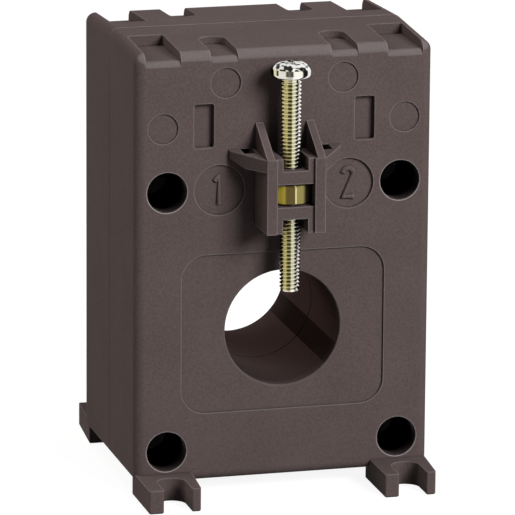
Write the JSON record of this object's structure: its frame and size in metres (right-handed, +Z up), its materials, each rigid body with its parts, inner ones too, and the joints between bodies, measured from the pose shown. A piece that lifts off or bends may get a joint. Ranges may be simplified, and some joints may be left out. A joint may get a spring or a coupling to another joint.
{
  "type": "current transformer",
  "caption": "Moulded window current transformer with a round bore, slotted feet, a front bracket with a clamping screw and a rear terminal bay.",
  "frame": {"origin": "centre of the plane that the four feet stand on, below the middle of the case", "axes": "+Z up, front face with the clamping screw towards -Y, +X to the right seen from the front"},
  "size_m": [0.044, 0.0474, 0.0663],
  "materials": {
    "housing": "fine matt moulded thermoplastic, dark warm brown-grey",
    "brass": "plain turned brass",
    "zinc_steel": "yellow-passivated zinc on steel",
    "core_steel": "wound grain-oriented strip, bluish grey",
    "core_plastic": "natural nylon",
    "copper": "enamelled copper wire",
    "tape": "yellow polyester film",
    "foam": "soft closed-cell foam",
    "lead_sleeve": "sleeved winding end"
  },
  "bodies": {
    "case": {"front_shell": "housing", "rear_shell": "housing", "screw_bracket": "housing", "clamp_nut": "brass", "housing_screws": "zinc_steel", "core_strip": "core_steel", "core_cap_front": "core_plastic", "core_cap_rear": "core_plastic", "secondary_winding": "copper", "winding_tape": "tape", "front_cushion": "foam", "rear_cushion": "foam", "lead_start": "lead_sleeve", "lead_end": "lead_sleeve", "terminal_post_left": "brass", "terminal_post_right": "brass", "terminal_washer_left": "zinc_steel", "terminal_washer_right": "zinc_steel"},
    "clamping_screw": {"clamp_screw": "zinc_steel"},
    "left_terminal_screw": {"terminal_screw_left": "zinc_steel"},
    "right_terminal_screw": {"terminal_screw_right": "zinc_steel"}
  },
  "joints": [
    {"name": "clamp_screw_slide", "type": "slide", "parent": "case", "child": "clamping_screw", "axis": [0, 0, 1], "range_m": [-0.011, 0.012]},
    {"name": "terminal_screw_left_slide", "type": "slide", "parent": "case", "child": "left_terminal_screw", "axis": [0, 1, 0], "range_m": [0, 0.0025]},
    {"name": "terminal_screw_right_slide", "type": "slide", "parent": "case", "child": "right_terminal_screw", "axis": [0, 1, 0], "range_m": [0, 0.0025]}
  ]
}
